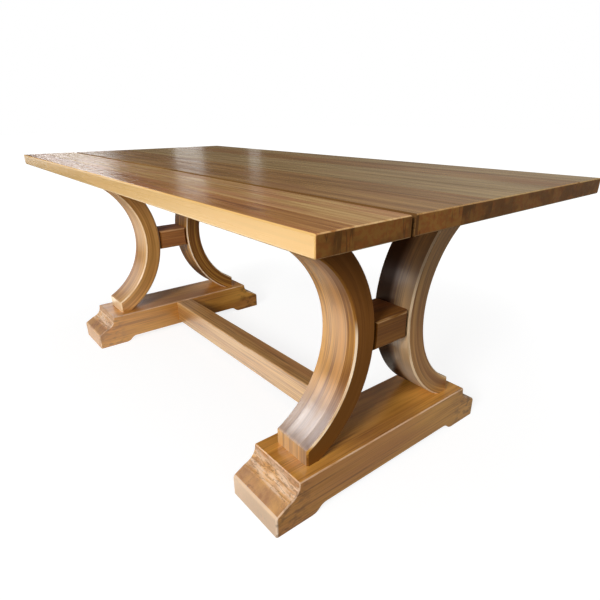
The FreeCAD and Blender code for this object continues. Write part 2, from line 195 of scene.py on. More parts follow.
@dataclass(frozen=True)
class Lamination:
    """Planks that a thick piece is glued from, side by side along X.

    Args:
        start: Where the first plank starts.
        width: Width of a plank.
        tints: How much darker each plank is.
        dulling: How much rougher the two outer planks are.
        seam: Half the width of the dark line at a seam, as a share of a plank.
        fade: Half the width over which a plank's change fades, as a share of a plank.
    """

    start: float
    width: float
    tints: tuple[float, ...]
    dulling: float = 0.04
    seam: float = 0.025
    fade: float = 0.02


@dataclass(frozen=True)
class Scuffs:
    """Scuffed strip of a foot's moulding, the same at both ends.

    Args:
        inner: Distance of the strip's inner side from the foot's middle.
        outer: Distance of its outer side.
        shelf: Distance of the outer side of the shelf beyond it.
        matte: How much less the moulding shines.
        nose_wear_and_sheen: How much paler the foot's end is, part wear and part painted sheen.
        fade: Width over which the strip fades.
        darkening: How much darker the shelf is.
        grime: How dark the grime beside the moulding is.
        painted_middle_shade: How much painted shade of the legs darkens the middle of the foot's top.
        grime_reach: How far inside the strip the grime starts.
        grime_end: How far beyond the strip's inner side it is full.
        nose_fade: Width over which the foot's end turns paler.
    """

    inner: float
    outer: float
    shelf: float
    matte: float
    nose_wear_and_sheen: float
    fade: float = 0.004
    darkening: float = 0.35
    grime: float = 0.55
    painted_middle_shade: float = 0.3
    grime_reach: float = 0.07
    grime_end: float = 0.01
    nose_fade: float = 0.001


@dataclass(frozen=True)
class LegFront:
    """How a leg's front changes with height.

    Args:
        darkening: How much darker the curve above the toe is.
        toe_wear_and_sheen: How much paler the toe is, part wear and part painted sheen.
        matte: How much less the upper curve shines.
        side_matte: How much less the sides shine.
        shade: How much painted shadow darkens the face on its left half.
        painted_sheen: How much painted grey sheen lies on its right half.
        last_matte: How much less the last plank shines above the low part.
        last_fade: How much darker the last plank is at the top of its face than at the middle.
        toe: Height of the toe's top.
        low: Height up to which the curve is fully dark.
        high: Height above which it is clean.
        middle: Height up to which the curve shines fully.
        top: Height above which it is fully matte.
        toe_fade: Half the height over which the toe's top fades.
        last_rise: How much higher the last plank's dull part starts than the clean part of the curve.
        shade_fade: Half the width over which the left half turns into the right one, in planks.
    """

    darkening: float
    toe_wear_and_sheen: float
    matte: float
    side_matte: float
    shade: float = 0.0
    painted_sheen: float = 0.0
    last_matte: float = 0.0
    last_fade: float = 0.0
    toe: float = 0.171
    low: float = 0.20
    high: float = 0.30
    middle: float = 0.42
    top: float = 0.54
    toe_fade: float = 0.003
    last_rise: float = 0.03
    shade_fade: float = 0.6


@dataclass(frozen=True)
class Bend:
    """Curve that the fibres of a leg follow.

    Args:
        reach: Distance of the curve's middle from the table's middle.
        height: Height of the curve's middle.
        radius: Radius of the curve.
    """

    reach: float
    height: float
    radius: float


@dataclass(frozen=True)
class WoodFinish:
    """How one wooden piece looks.

    Args:
        name: Name of the finish.
        tone: Colours of the wood.
        grain: Direction of the fibres.
        arris: Which faces are eased edges.
        shift: Place in the log, in metres along and across the fibres.
        figure: Scale and strength of the figure.
        lamination: Planks that the piece is glued from, if it is.
        bend: Curve that the fibres follow, if they do.
        scuffs: Scuffed moulding, if there is one.
        leg_front: Change of a leg's front with height, if there is one.
        edge: Colour of the front long edge, if it differs.
        end_tone: Colours of the end grain, if they differ.
        end_shadow_band: Where along Y a painted shadow band on the end grain sets in and, backwards, ends,
            if it is there.
        worn_span: Heights at which the pale edges, part wear and part painted highlight, set in and,
            backwards, end, if they aren't all over.
        roughness: Roughness of the lacquer.
        coat: Weight of the clear coat.
    """

    name: str
    tone: WoodTone
    grain: Grain
    arris: Arris
    shift: tuple[float, float, float]
    figure: Figure = Figure()
    lamination: Lamination | None = None
    bend: Bend | None = None
    scuffs: Scuffs | None = None
    leg_front: LegFront | None = None
    edge: Colour | None = None
    end_tone: WoodTone | None = None
    end_shadow_band: tuple[Span, Span] | None = None
    worn_span: tuple[Span, Span] | None = None
    roughness: float = 0.34
    coat: float = 0.15


@dataclass(frozen=True)
class SteelFinish:
    """Zinc-plated steel.

    Args:
        name: Name of the finish.
        bright: Colour of the polished high spots.
        dull: Colour of the passivated hollows.
        roughness: Roughness of the plating.
        mottle_roughness: How much rougher the high spots are.
        relief_strength: Strength of the mottle's relief.
        relief_depth: Depth of the relief.
    """

    name: str
    bright: Colour
    dull: Colour
    roughness: float
    mottle_roughness: float = 0.2
    relief_strength: float = 0.1
    relief_depth: float = 0.0001


class Shader:
    """A builder for shader node trees, in which every step returns the socket that carries its result."""

    def __init__(self, owner: bpy.types.Material | bpy.types.World) -> None:
        """Empty the node tree of a material or world."""
        self.owner = owner
        owner.use_nodes = True
        self.tree = owner.node_tree
        self.tree.nodes.clear()

    def node(self, kind: str, feeds: dict[str | int, Feed] | None = None,
             **settings: object) -> bpy.types.Node:
        """Add a node.

        Args:
            kind: Blender's name of the node type, without its prefix.
            feeds: What its inputs get, by name or number: a socket to link from, or a constant.
            settings: Properties to set on the node.

        Returns:
            The new node.
        """
        made = self.tree.nodes.new(f"ShaderNode{kind}")
        for name, value in settings.items():
            setattr(made, name, value)
        for name, value in (feeds or {}).items():
            if isinstance(value, bpy.types.NodeSocket):
                self.tree.links.new(value, made.inputs[name])
            else:
                made.inputs[name].default_value = value
        return made

    def math(self, operation: str, *numbers: Feed) -> Socket:
        """Combine one or two numbers."""
        return self.node("Math", dict(enumerate(numbers)), operation=operation).outputs[0]

    def total(self, *terms: Feed) -> Socket:
        """Add up two or more numbers."""
        return reduce(partial(self.math, "ADD"), terms)

    def product(self, *terms: Feed) -> Socket:
        """Multiply two or more numbers."""
        return reduce(partial(self.math, "MULTIPLY"), terms)

    def largest(self, *numbers: Feed) -> Socket:
        """Find the largest of two or more numbers."""
        return reduce(partial(self.math, "MAXIMUM"), numbers)

    def less(self, first: Feed, second: Feed) -> Socket:
        """Take the second number from the first."""
        return self.math("SUBTRACT", first, second)

    def inverse(self, share: Socket) -> Socket:
        """Find what a share leaves of 1."""
        return self.less(1.0, share)

    def size(self, number: Socket) -> Socket:
        """Drop a number's sign."""
        return self.math("ABSOLUTE", number)

    def centred(self, noise: Socket, share: float) -> Socket:
        """Let a noise about one half swing about zero, with a given strength."""
        return self.product(self.less(noise, 0.5), share)

    def split(self, vector: Socket) -> tuple[Socket, Socket, Socket]:
        """Take a vector apart into X, Y and Z."""
        x, y, z = self.node("SeparateXYZ", {0: vector}).outputs
        return x, y, z

    def parts(self, kind: str, output: str) -> dict[str, Socket]:
        """Add a node of some kind and take one of its outputs apart into X, Y and Z."""
        return dict(zip("XYZ", self.split(self.node(kind).outputs[output])))

    def noise(self, place: Place, noise: Noise) -> Socket:
        """Sample a noise.

        Args:
            place: Where to sample it.
            noise: What to sample.

        Returns:
            The noise, about 0 to 1, or 1 in its patches or lines.
        """
        spot = [self.product(part, pitch) for part, pitch in zip(place, noise.pitch)]
        made = self.node("TexNoise", {
            "Vector": self.node("CombineXYZ", dict(enumerate(spot))).outputs[0], "Scale": 1.0,
            "Detail": noise.detail, "Roughness": noise.roughness})
        level = made.outputs["Fac"]
        if noise.edge:
            return self.step(level, *noise.edge)
        if noise.line:
            return self.step(self.size(self.less(level, 0.5)), *noise.line)
        return level

    def step(self, value: Socket, low: float, high: float) -> Socket:
        """Rise smoothly from 0 at low to 1 at high."""
        feeds = {"Value": value, "From Min": low, "From Max": high}
        return self.node("MapRange", feeds, interpolation_type="SMOOTHSTEP").outputs["Result"]

    def turn(self, value: Socket, middle: float, fade: float) -> Socket:
        """Rise smoothly from 0 to 1 about a middle, or fall if the fade is negative."""
        return self.step(value, middle - fade, middle + fade)

    def window(self, value: Socket, rise: Span, fall: Span) -> Socket:
        """Rise smoothly from 0 to 1 over one span, and fall to 0 again over the other, given backwards."""
        return self.product(self.step(value, *rise), self.step(value, *fall))

    def mix(self, share: Feed, first: Feed, second: Feed) -> Socket:
        """Mix two colours, with a given share of the second."""
        return self.node("Mix", {0: share, 6: first, 7: second}, data_type="RGBA").outputs[2]

    def ramp(self, value: Socket, stops: list[Span], interpolation: str = "LINEAR") -> Socket:
        """Look a number up on a ramp of grey stops.

        Args:
            value: The number, 0 to 1.
            stops: Places and levels of the stops.
            interpolation: How levels change between stops.

        Returns:
            The level.
        """
        made = self.node("ValToRGB", {0: value})
        made.color_ramp.interpolation = interpolation
        elements = made.color_ramp.elements
        while len(elements) < len(stops):
            elements.new(0.5)
        for element, (place, level) in zip(elements, stops):
            element.position = place
            element.color = (level, level, level, 1.0)
        return self.split(made.outputs["Color"])[0]

    def bump(self, height: Socket, strength: float, distance: float) -> Socket:
        """Turn a height into a surface normal, with a given strength and depth of relief."""
        feeds = {"Strength": strength, "Distance": distance, "Height": height}
        return self.node("Bump", feeds).outputs["Normal"]

    def surface(self, feeds: dict[str, Feed]) -> None:
        """Cover the material with a surface whose inputs get these feeds."""
        self.node("OutputMaterial", {"Surface": self.node("BsdfPrincipled", feeds).outputs[0]})


# Noises of the wood along and across its fibres, and of the scuffs and the steel along the axes.
STREAKS = Noise((2.2, 190.0, 190.0), 4.0, 0.6)
PORES = Noise((9.0, 900.0, 900.0), edge=(0.60, 0.70))
WAVES = Noise((6.0, 22.0, 22.0))
RING_WANDER = Noise((0.8, 5.0, 5.0))
VEINS = Noise((0.9, 75.0, 75.0), line=(0.03, 0.004))
WEAR_PATCHES = Noise((9.0, 60.0, 60.0), 3.0, edge=(0.22, 0.55))
END_FLECKS = Noise((1.0, 90.0, 110.0), 4.0, edge=(0.42, 0.60))
END_PATCHES = Noise((1.0, 26.0, 34.0), 3.0, edge=(0.40, 0.62))
CHECKS = Noise((1.0, 60.0, 8.0), line=(0.026, 0.008))
CHECK_PATCHES = Noise((1.0, 16.0, 16.0), edge=(0.50, 0.60))
RUB_AND_SHEEN_PATCHES = Noise((14.0, 120.0, 120.0), 4.0, edge=(0.40, 0.62))
SCRATCHES = Noise((24.0, 90.0, 90.0), 3.0, line=(0.035, 0.005))
GRIME = Noise((30.0, 34.0, 60.0), 4.0, edge=(0.46, 0.62))
MOTTLE = Noise((900.0, 900.0, 900.0), 4.0)

# From where to where masks rise from 0 to 1: first on parts of the surface normal, then on noises.
OUTLINE = (0.5, 0.2)
END_FACE = (0.92, 0.98)
EASED = (0.25, 0.5)
NOT_SIDE = (0.95, 0.85)
NO_AXIS = (0.97, 0.85)
LONG_EDGE = (-0.3, -0.7)
TURNED_FRONT = (-0.1, -0.4)
FACE_UP = (0.9, 0.97)
DARKNESS = (0.05, 0.95)
BLUSH = (0.45, 0.68)
VEIN_GROUPS = (0.42, 0.6)
# Then on places, in metres: the top's outer edges, the end where its joints are darker, the middle of
# the foot's top with painted shade, a leg's upper part and the low part of its painted sheen.
INSIDE_TOP = (0.446, 0.440)
DARKER_JOINT_END = (-0.2, 0.7)
SHADED_FOOT_MIDDLE = (0.20, 0.06)
LEG_RISE = (0.40, 0.66)
LOW_SHEEN_SPAN = (0.31, 0.21)

# A year's growth from early to late wood, as places and levels, and how the rings lie and wander.
YEAR = [(0.0, 0.1), (0.35, 0.25), (0.8, 0.85), (0.92, 1.0), (1.0, 0.1)]
RING_SLOPE = (0.35, 0.8)
RING_SWING = 0.14
# How far apart in the log neighbouring planks of a leg lay, along and across the fibres.
PLANK_STEP = (1.7, 0.43)
# Strengths of single effects.
PORE_TINT = 0.25
EDGE_TINT = 0.85
END_SHADOW_TINT = 0.85
CHECK_TINT = 0.8
SEAM_TINT = 0.5
SCRATCH_TINT = 0.5
LOW_SHEEN_GAIN = 1.3
END_MATTE = 0.8
# How much patchy effects change from place to place, and how strong they are everywhere.
SOAK = (0.4, 0.6)
JOINT_DIRT_AND_SHADE = (0.2, 0.6)
RUB_AND_SHEEN = (0.5, 0.15)
# How high each part of the figure stands, and how much rougher or more uneven it makes the lacquer.
RELIEF = {"pores": -0.5, "rings": -0.12, "streaks": 0.3, "waves": 0.6, "checks": -1.0}
RELIEF_STRENGTH = 0.22
RELIEF_DEPTH = 0.0008
ROUGHER = {"pores": 0.1, "ends": 0.14, "worn": 0.25, "scuffed": 0.5}
UNEVEN = {"clouds": 0.22, "streaks": 0.2}
COAT_ROUGHNESS = 0.22
SPECULAR = 0.5


class WoodMaterial(Shader):
    """A lacquered wood, grown from rings, bands, streaks and pores that run through the solid."""

    def __init__(self, finish: WoodFinish) -> None:
        """Start the material and its figure.

        Args:
            finish: How the wood looks.
        """
        super().__init__(bpy.data.materials.new(finish.name))
        self.finish = finish
        self.point = self.parts("TexCoord", "Object")
        self.normal = self.parts("NewGeometry", "Normal")
        self.ends = self.step(self.tilt(finish.grain.value[0]), *END_FACE)
        self.figure = {
            name: self.noise(self.place, noise) for name, noise in (
                ("bands", finish.figure.bands()), ("clouds", finish.figure.clouds()), ("streaks", STREAKS),
                ("pores", PORES), ("waves", WAVES))}
        self.figure["rings"] = self.rings()
        self.colour: Feed = finish.tone.early
        self.matte: Socket = self.product(self.ends, END_MATTE)

    def build(self) -> bpy.types.Material:
        """Fill the node tree.

        Returns:
            The finished material.
        """
        finish = self.finish
        self.grow()
        self.figure["checks"] = self.cut_ends()
        if finish.edge:
            self.paint(finish.edge, self.step(self.normal["Y"], *LONG_EDGE), EDGE_TINT)
        if finish.leg_front:
            self.tint_leg_front()
        if finish.arris is Arris.ENDS:
            self.darken_joints_with_dirt_and_shade()
        if finish.arris is not Arris.SIDES:
            self.dull(self.corner())
        rough = {"pores": self.figure["pores"], "ends": self.ends, "worn": self.wear()}
        # Pale eased edges: part wear, part painted highlight.
        self.paint(finish.tone.worn, rough["worn"], finish.figure.edge_wear_and_highlight)
        if finish.scuffs:
            rough["scuffed"] = self.scuff()
        terms = [self.product(part, ROUGHER[name]) for name, part in rough.items()]
        terms += [self.centred(self.figure[name], share) for name, share in UNEVEN.items()]
        if finish.lamination:
            terms.append(self.plank_dulling())
        height = self.total(*(self.product(self.figure[name], share) for name, share in RELIEF.items()))
        gloss = self.inverse(self.matte)
        self.surface({
            "Base Color": self.colour, "Roughness": self.total(finish.roughness, *terms),
            "Normal": self.bump(height, RELIEF_STRENGTH, RELIEF_DEPTH),
            "Specular IOR Level": self.product(gloss, SPECULAR),
            "Coat Weight": self.product(gloss, finish.coat) if finish.coat else 0.0,
            "Coat Roughness": COAT_ROUGHNESS})
        return self.owner

    def paint(self, colour: Feed, *shares: Feed) -> None:
        """Lay a colour over the wood, in a share that is the product of the given ones."""
        self.colour = self.mix(self.product(*shares), self.colour, colour)

    def dull(self, *shares: Feed) -> None:
        """Take away a share of the shine, the product of the given ones, where it isn't duller already."""
        self.matte = self.largest(self.matte, self.product(*shares))

    def tilt(self, axis: str) -> Socket:
        """Find how far a face turns to an axis, 0 to 1."""
        return self.size(self.normal[axis])

    @cached_property
    def outline(self) -> Socket:
        """Mark the faces round a piece's outline: 1 on them and 0 on its X sides."""
        return self.step(self.tilt("X"), *OUTLINE)

    @cached_property
    def reach(self) -> Socket:
        """Find how far a point is from the table's middle line."""
        return self.size(self.point["Y"])

    @cached_property
    def plank(self) -> Socket:
        """Count how many planks in a point is."""
        planks = self.finish.lamination
        return self.math("DIVIDE", self.less(self.point["X"], planks.start), planks.width)

    @cached_property
    def place(self) -> Place:
        """Find where a point lay in its log.

        Returns:
            The place along and across the fibres.
        """
        place = [self.point[axis] for axis in self.finish.grain.value]
        if self.finish.bend:
            place = self.place_on_curve()
        if self.finish.lamination:
            number = self.math("FLOOR", self.plank)
            for part, step in zip((0, 2), PLANK_STEP):
                place[part] = self.total(place[part], self.product(number, step))
        along, across, through = (self.total(*pair) for pair in zip(place, self.finish.shift))
        return along, across, through

    def place_on_curve(self) -> list[Socket]:
        """Let the fibres follow a leg's curve.

        Returns:
            The place along the curve, across the leg and, on its sides, away from the curve's middle.
        """
        bend = self.finish.bend
        inward = self.less(bend.reach, self.reach)
        rise = self.less(self.point["Z"], bend.height)
        squares = self.total(self.product(inward, inward), self.product(rise, rise))
        away = self.product(self.math("SQRT", squares), self.inverse(self.outline))
        return [self.product(self.math("ARCTAN2", rise, inward), bend.radius), self.point["X"], away]

    def rings(self) -> Socket:
        """Draw the year rings, which lie across the piece and wander along it.

        Returns:
            How late in its year the wood grew, 0 to 1.
        """
        wander = self.centred(self.noise(self.place, RING_WANDER), RING_SWING)
        across, through = (self.product(*pair) for pair in zip(self.place[1:], RING_SLOPE))
        years = self.math("DIVIDE", self.total(through, across, wander), self.finish.figure.ring_width)
        return self.ramp(self.math("FRACT", years), YEAR)

    def grow(self) -> None:
        """Colour the wood by its bands, streaks and rings, then by its blush, veins and pores."""
        tone, figure, zone = self.finish.tone, self.finish.figure, self.finish.leg_front
        terms = [
            self.centred(self.figure["bands"], figure.band_share),
            self.centred(self.figure["streaks"], figure.streak_share),
            self.centred(self.figure["rings"], figure.ring_share), 0.5]
        if self.finish.lamination:
            terms.append(self.plank_tint())
        if zone and zone.last_fade:
            terms.append(self.last_fade())
        self.colour = self.mix(self.step(self.total(*terms), *DARKNESS), tone.early, tone.late)
        clouds = self.figure["clouds"]
        self.paint(tone.blush, self.step(clouds, *BLUSH), figure.blush_share)
        veins = self.product(self.noise(self.place, VEINS), self.step(clouds, *VEIN_GROUPS))
        self.paint(tone.vein, veins, figure.vein_share)
        self.paint(tone.vein, self.figure["pores"], PORE_TINT)

    def plank_tint(self) -> Socket:
        """Tint each plank, with a thin dark line at each seam.

        Returns:
            How much darker the point is.
        """
        lamination = self.finish.lamination
        count = len(lamination.tints)
        stops = [(index / count, 0.5 + amount) for index, amount in enumerate(lamination.tints)]
        level = self.ramp(self.math("DIVIDE", self.plank, count), stops, "CONSTANT")
        from_seam = self.size(self.less(self.math("FRACT", self.plank), 0.5))
        seam = self.product(self.step(from_seam, 0.5 - lamination.seam, 0.5), SEAM_TINT)
        return self.total(level, seam, -0.5)

    def plank_dulling(self) -> Socket:
        """Dull the two outer planks.

        Returns:
            How much rougher the point is.
        """
        lamination = self.finish.lamination
        half = len(lamination.tints) / 2
        from_middle = self.size(self.less(self.plank, half))
        return self.product(self.turn(from_middle, half - 1, lamination.fade), lamination.dulling)

    def last_plank(self) -> Socket:
        """Mark a leg's last plank."""
        lamination = self.finish.lamination
        return self.turn(self.plank, len(lamination.tints) - 1, lamination.fade)

    def last_fade(self) -> Socket:
        """Darken a leg's last plank upward on its face.

        Returns:
            How much darker it is.
        """
        zone, height = self.finish.leg_front, self.point["Z"]
        rise = self.centred(self.step(height, *LEG_RISE), zone.last_fade)
        return self.product(
            self.last_plank(), self.outline, self.step(height, zone.high, zone.middle), rise)

    def cut_ends(self) -> Socket:
        """Darken the end grain, mottle it, paint a shadow band on it where asked, and open a few drying
        checks.

        Returns:
            1 in a check.
        """
        tone = self.finish.end_tone or self.finish.tone
        gain, base = SOAK
        soak = self.total(self.product(self.noise(self.place, END_PATCHES), gain), base)
        flecked = self.mix(self.noise(self.place, END_FLECKS), tone.late, tone.blush)
        soaked = self.mix(self.product(soak, self.finish.figure.end_share), flecked, tone.vein)
        # Painted shadow band on the end grain beside the open joint.
        if self.finish.end_shadow_band:
            shadow_band = self.window(self.point["Y"], *self.finish.end_shadow_band)
            soaked = self.mix(self.product(shadow_band, END_SHADOW_TINT), soaked, tone.vein)
        checks = self.product(
            self.noise(self.place, CHECKS), self.noise(self.place, CHECK_PATCHES), self.ends)
        self.paint(soaked, self.ends)
        self.paint(tone.vein, checks, CHECK_TINT)
        return checks

    def tint_leg_front(self) -> None:
        """Darken the curve above a leg's toe, make the toe paler with wear and painted sheen, dull the
        upper curve and the sides, and paint shade and sheen on the face's halves where asked.
        """
        zone, height, tone = self.finish.leg_front, self.point["Z"], self.finish.tone
        above = self.turn(height, zone.toe, zone.toe_fade)
        low = self.product(self.step(height, zone.high, zone.low), above, self.outline)
        toe = self.product(self.inverse(above), self.outline)
        self.paint(tone.vein, low, zone.darkening)
        # Paler toe: part wear, part painted sheen.
        self.paint(tone.worn, toe, zone.toe_wear_and_sheen)
        self.dull(self.step(height, zone.middle, zone.top), self.outline, zone.matte)
        self.dull(self.inverse(self.outline), zone.side_matte)
        if zone.last_matte:
            raised = self.step(height, zone.low + zone.last_rise, zone.high + zone.last_rise)
            self.dull(self.last_plank(), raised, zone.last_matte)
        if zone.shade:
            self.paint_shadow_and_sheen_halves()

    def paint_shadow_and_sheen_halves(self) -> None:
        """Paint shadow on the left half of a leg's face that turns to the front, and a grey sheen on its
        right half.
        """
        zone = self.finish.leg_front
        facing = self.step(self.normal["Y"], *TURNED_FRONT)
        left = self.turn(self.plank, len(self.finish.lamination.tints) / 2, -zone.shade_fade)
        shade = self.product(left, facing, zone.shade)
        painted_sheen = self.product(self.inverse(left), facing, zone.painted_sheen)
        low = self.step(self.point["Z"], *LOW_SHEEN_SPAN)
        # Painted grey sheen on the right half, paler low down, then painted shadow on the left half.
        self.paint(PAINTED_GREY_SHEEN, painted_sheen)
        self.paint(PAINTED_PALE_SHEEN, painted_sheen, low, LOW_SHEEN_GAIN)
        self.paint(PAINTED_SHADOW, shade)
        self.dull(shade)

    def darken_joints_with_dirt_and_shade(self) -> None:
        """Darken and dull the faces and eased edges of a board's joints, but not the top's outer edges:
        partly grime, partly painted shade in the open joint and over the eases' highlights, more towards
        the +X end.
        """
        # Joints darkened partly as grime, partly as painted shade.
        joint = self.product(self.step(self.tilt("Y"), *EASED), self.step(self.reach, *INSIDE_TOP))
        gain, base = JOINT_DIRT_AND_SHADE
        dirt_and_shade = self.total(self.product(self.step(self.point["X"], *DARKER_JOINT_END), gain), base)
        self.paint(self.finish.tone.vein, joint, dirt_and_shade)
        self.dull(joint)

    def corner(self) -> Socket:
        """Mark the faces that point along no axis."""
        return self.step(self.largest(*(self.tilt(axis) for axis in "XYZ")), *NO_AXIS)

    def arris(self) -> Socket:
        """Mark the eased edges.

        Returns:
            1 on eased edges and 0 elsewhere.
        """
        if self.finish.arris is Arris.CORNERS:
            return self.corner()
        across = self.step(self.tilt("X"), *EASED)
        if self.finish.arris is Arris.SIDES:
            return self.product(across, self.step(self.tilt("X"), *NOT_SIDE))
        return self.product(across, self.step(self.tilt("Z"), *EASED))

    def wear(self) -> Socket:
        """Pale the eased edges in patches, part wear and part painted highlight.

        Returns:
            How pale the point is, 0 to 1.
        """
        # Where a span is given, the pale edges, partly painted highlight, stay within the heights that the
        # light reaches.
        span = self.finish.worn_span
        worn = self.product(self.arris(), self.noise(self.place, WEAR_PATCHES))
        return self.product(worn, self.window(self.point["Z"], *span)) if span else worn

    def scuff(self) -> Socket:
        """Scuff a foot's cove, pale its ends, darken its shelf, paint shade on the middle of its top and
        put grime on its sides; the pale cove and ends are part wear and part painted sheen.

        Returns:
            How pale the cove is, 0 to 1.
        """
        strip, tone, reach = self.finish.scuffs, self.finish.tone, self.reach
        place = (self.point["X"], self.point["Y"], self.point["Z"])
        beyond = self.turn(reach, strip.outer, strip.fade)
        moulding = self.product(self.outline, self.turn(reach, strip.inner, strip.fade))
        cove = self.product(moulding, self.inverse(beyond))
        # Pale cove and foot ends: part wear, part painted sheen.
        gain, base = RUB_AND_SHEEN
        rubs_and_sheen = self.total(self.product(self.noise(place, RUB_AND_SHEEN_PATCHES), gain), base)
        worn = self.product(cove, rubs_and_sheen)
        scratch = self.product(cove, self.noise(place, SCRATCHES), SCRATCH_TINT)
        shelf = self.product(self.outline, beyond, self.turn(reach, strip.shelf, -strip.fade))
        beside = self.step(reach, strip.inner - strip.grime_reach, strip.inner + strip.grime_end)
        grime = self.product(
            self.inverse(self.outline), beside, self.noise(place, GRIME), strip.grime)
        nose = self.step(reach, strip.shelf - strip.nose_fade, strip.shelf)
        self.paint(tone.worn, nose, strip.nose_wear_and_sheen)
        self.paint(tone.worn, worn)
        # Painted shade of the legs on the middle of the foot's top.
        above = self.step(self.normal["Z"], *FACE_UP)
        self.paint(tone.vein, above, self.step(reach, *SHADED_FOOT_MIDDLE), strip.painted_middle_shade)
        self.paint(tone.vein, self.largest(scratch, self.product(shelf, strip.darkening), grime))
        self.dull(moulding, strip.matte)
        return worn


class SteelMaterial(Shader):
    """Plated steel with a mottled sheen."""

    def __init__(self, finish: SteelFinish) -> None:
        """Keep the finish and start the material."""
        super().__init__(bpy.data.materials.new(finish.name))
        self.finish = finish

    def build(self) -> bpy.types.Material:
        """Fill the node tree.

        Returns:
            The finished material.
        """
        finish = self.finish
        place = self.parts("TexCoord", "Object")
        mottle = self.noise(tuple(place.values()), MOTTLE)
        self.surface({
            "Metallic": 1.0, "Base Color": self.mix(mottle, finish.dull, finish.bright),
            "Roughness": self.total(finish.roughness, self.product(mottle, finish.mottle_roughness)),
            "Normal": self.bump(mottle, finish.relief_strength, finish.relief_depth)})
        return self.owner


def raw_wood(name: str, grain: Grain, shift: tuple[float, float, float]) -> bpy.types.Material:
    """Make an unlacquered wood for hidden pieces.

    Args:
        name: Name of the finish.
        grain: Direction of the fibres.
        shift: Place in the log.

    Returns:
        The finished material.
    """
    return WoodMaterial(WoodFinish(name, RAW, grain, Arris.CORNERS, shift, roughness=0.6, coat=0.0)).build()


RED_BROWN = WoodTone.shown(
    early=(208, 150, 86), late=(160, 102, 50), blush=(182, 110, 66),
    vein=(92, 52, 22), worn=(236, 196, 140))
YELLOW_TAN = WoodTone.shown(
    early=(234, 190, 124), late=(184, 130, 70), blush=(204, 140, 94),
    vein=(116, 74, 34), worn=(230, 196, 146))
BROWN = WoodTone.shown(
    early=(200, 152, 92), late=(146, 102, 52), blush=(168, 118, 74),
    vein=(78, 50, 24), worn=(206, 168, 116))
OLIVE_BROWN = WoodTone.shown(
    early=(210, 174, 118), late=(160, 126, 76), blush=(180, 140, 96),
    vein=(88, 62, 34), worn=(200, 166, 116))
HONEY = WoodTone.shown(
    early=(204, 147, 68), late=(126, 78, 28), blush=(174, 114, 58),
    vein=(92, 52, 16), worn=(255, 232, 198))
AMBER = WoodTone.shown(
    early=(218, 163, 88), late=(168, 112, 48), blush=(190, 126, 66),
    vein=(104, 62, 24), worn=(252, 222, 180))
CHESTNUT = WoodTone.shown(
    early=(152, 98, 32), late=(112, 66, 16), blush=(134, 78, 28),
    vein=(76, 42, 12), worn=(238, 196, 146))
STRAW = WoodTone.shown(
    early=(210, 162, 96), late=(164, 112, 54), blush=(188, 132, 80),
    vein=(112, 74, 34), worn=(244, 206, 158))
RAW = WoodTone.shown(
    early=(214, 182, 132), late=(176, 136, 86), blush=(196, 156, 110),
    vein=(120, 88, 54), worn=(226, 198, 150))
UMBER = WoodTone.shown(
    early=(232, 176, 102), late=(146, 94, 42), blush=(160, 106, 56),
    vein=(104, 66, 30), worn=(252, 222, 180))
RUSSET = WoodTone.shown(
    early=(190, 128, 64), late=(146, 90, 40), blush=(164, 100, 52),
    vein=(84, 48, 18), worn=(238, 196, 146))
END_GRAIN = WoodTone.shown(
    early=(184, 130, 66), late=(168, 116, 54), blush=(162, 98, 44),
    vein=(92, 58, 24), worn=(226, 186, 130))
GOLDEN = replace(
    AMBER, early=display(224, 162, 74), late=display(170, 110, 38), worn=display(246, 220, 192))

PALE_EDGE = display(238, 195, 123)
# Painted shadow for the left half of a back leg's face, and painted grey sheen for its right half, paler
# low down.
PAINTED_SHADOW = display(52, 32, 17)
PAINTED_GREY_SHEEN = display(139, 133, 118)
PAINTED_PALE_SHEEN = display(214, 196, 174)

TOP_FIGURE = Figure(
    band_width=0.022, band_length=0.45, band_share=1.8, ring_share=0.12, streak_share=2.4, vein_share=0.6,
    blush_share=0.65, cloud_width=0.035, cloud_length=0.25)
TOP_END_SHARES = (0.75, 0.7, 0.35, 0.95, 0.8, 0.8, 0.8, 0.8)
LEG_FIGURE = Figure(band_width=0.016, band_length=0.45, band_share=2.0, edge_wear_and_highlight=0.85)
RAIL_FIGURE = Figure(streak_share=2.4, vein_share=0.8, edge_wear_and_highlight=0.5)
LEG_BEND = Bend(reach=0.4015, height=0.414, radius=0.2735)
FOOT_FIGURE = Figure(
    band_width=0.045, band_length=0.35, streak_share=0.8, ring_share=0.15, vein_share=0.55, blush_share=0.7,
    end_share=0.2, edge_wear_and_highlight=0.5)

TOP_TONES = (RED_BROWN, YELLOW_TAN, BROWN, BROWN, OLIVE_BROWN, OLIVE_BROWN, BROWN, OLIVE_BROWN)


